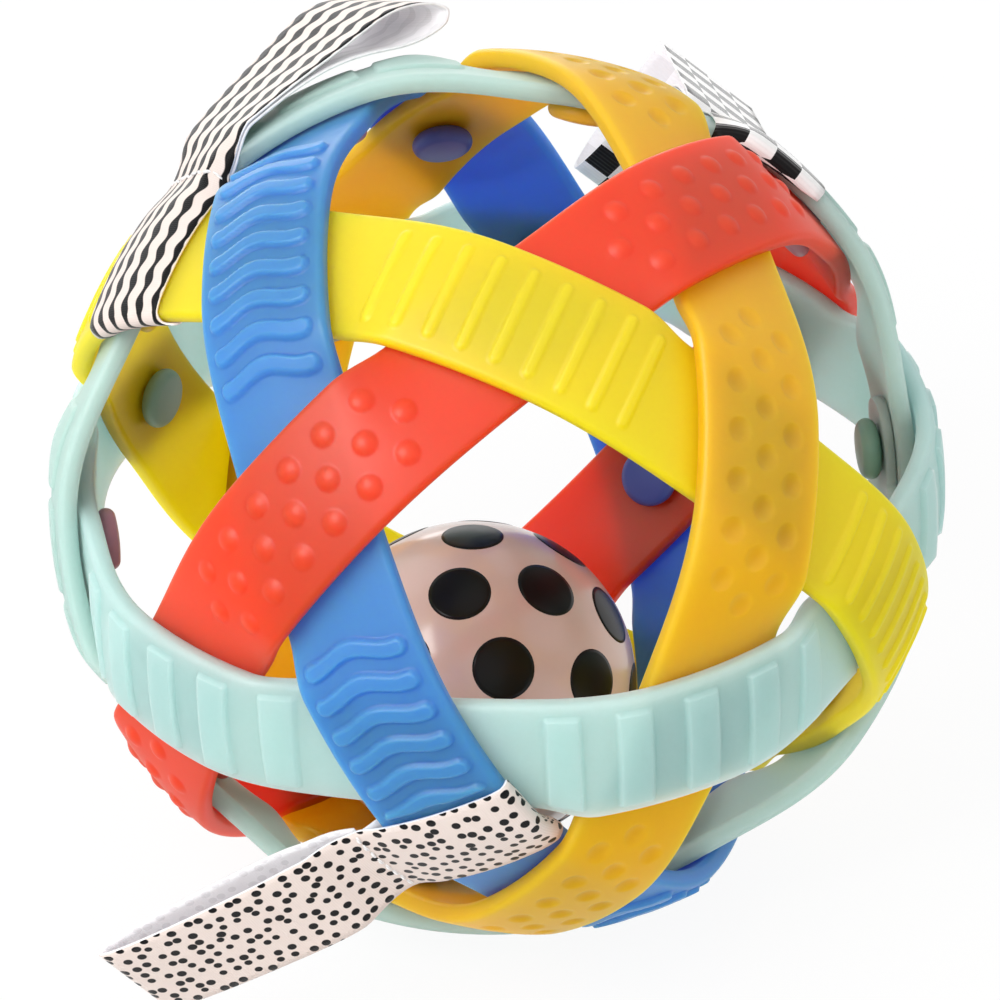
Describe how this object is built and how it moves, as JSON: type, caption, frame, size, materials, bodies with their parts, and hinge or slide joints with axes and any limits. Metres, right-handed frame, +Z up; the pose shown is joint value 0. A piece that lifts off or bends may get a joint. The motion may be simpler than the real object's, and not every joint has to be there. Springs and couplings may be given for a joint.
{
  "type": "sensory ball",
  "caption": "Open ball woven from soft coloured strips that pass over and under each other on studs, with a loose rattle ball inside and sewn ribbon loops to grasp.",
  "frame": {"origin": "on the table plane, under the centre of the cage", "axes": "+Z up, along the axis of the mint strip; +Y away from the viewer of the picture, so the axis of the sage strip leans from +Z towards -Y"},
  "size_m": [0.1292, 0.1388, 0.1202],
  "materials": {
    "sage_strip": "satin moulded elastomer",
    "blue_strip": "satin moulded elastomer",
    "lemon_strip": "satin moulded elastomer",
    "coral_strip": "satin moulded elastomer",
    "amber_strip": "satin moulded elastomer",
    "mint_strip": "satin moulded elastomer",
    "sage_stud": "satin moulded elastomer",
    "blue_stud": "satin moulded elastomer",
    "lemon_stud": "satin moulded elastomer",
    "coral_stud": "satin moulded elastomer",
    "amber_stud": "satin moulded elastomer",
    "mint_stud": "satin moulded elastomer",
    "ball_shell": "glossy cream with black dots",
    "beads": "plain",
    "ribbon_dots": "satin ribbon with small black dots",
    "ribbon_waves": "satin ribbon with black wavy stripes",
    "ribbon_check": "ribbed ribbon with a black and white check",
    "thread": "white sewing thread"
  },
  "bodies": {
    "cage": {"sage_band": "sage_strip", "blue_band": "blue_strip", "lemon_band": "lemon_strip", "coral_band": "coral_strip", "amber_band": "amber_strip", "mint_band": "mint_strip", "sage_studs": "sage_stud", "blue_studs": "blue_stud", "lemon_studs": "lemon_stud", "coral_studs": "coral_stud", "amber_studs": "amber_stud", "mint_studs": "mint_stud", "dots_wrap": "ribbon_dots", "waves_wrap": "ribbon_waves", "check_wrap": "ribbon_check"},
    "beads": {"rattle_beads": "beads"},
    "ball": {"ball_front_shell": "ball_shell", "ball_back_shell": "ball_shell"},
    "dots_loop": {"dots_tail": "ribbon_dots", "dots_stitches": "thread"},
    "waves_loop": {"waves_tail": "ribbon_waves", "waves_stitches": "thread"},
    "check_loop": {"check_tail": "ribbon_check", "check_stitches": "thread"}
  },
  "joints": [
    {"name": "ball_travel", "type": "slide", "parent": "cage", "child": "beads", "axis": [0, 0, 1], "range_m": [0, 0.069]},
    {"name": "ball_spin", "type": "hinge", "parent": "beads", "child": "ball", "pos_m": [-0.00482, 0.00068, 0.0245], "axis": [1, 0, 0], "continuous": true},
    {"name": "dots_flop", "type": "hinge", "parent": "cage", "child": "dots_loop", "pos_m": [-0.02368, -0.05511, 0.04072], "axis": [-0.4863, -0.0906, 0.8691], "range_deg": [-20, 45], "stiffness_Nm_per_rad": 0.002},
    {"name": "waves_flop", "type": "hinge", "parent": "cage", "child": "waves_loop", "pos_m": [-0.03871, 0.01746, 0.10735], "axis": [0.4276, -0.6793, 0.5964], "range_deg": [0, 60], "stiffness_Nm_per_rad": 0.002},
    {"name": "check_flop", "type": "hinge", "parent": "cage", "child": "check_loop", "pos_m": [0.04196, 0.03234, 0.09427], "axis": [0.7342, -0.3036, -0.6073], "range_deg": [0, 50], "stiffness_Nm_per_rad": 0.002}
  ]
}
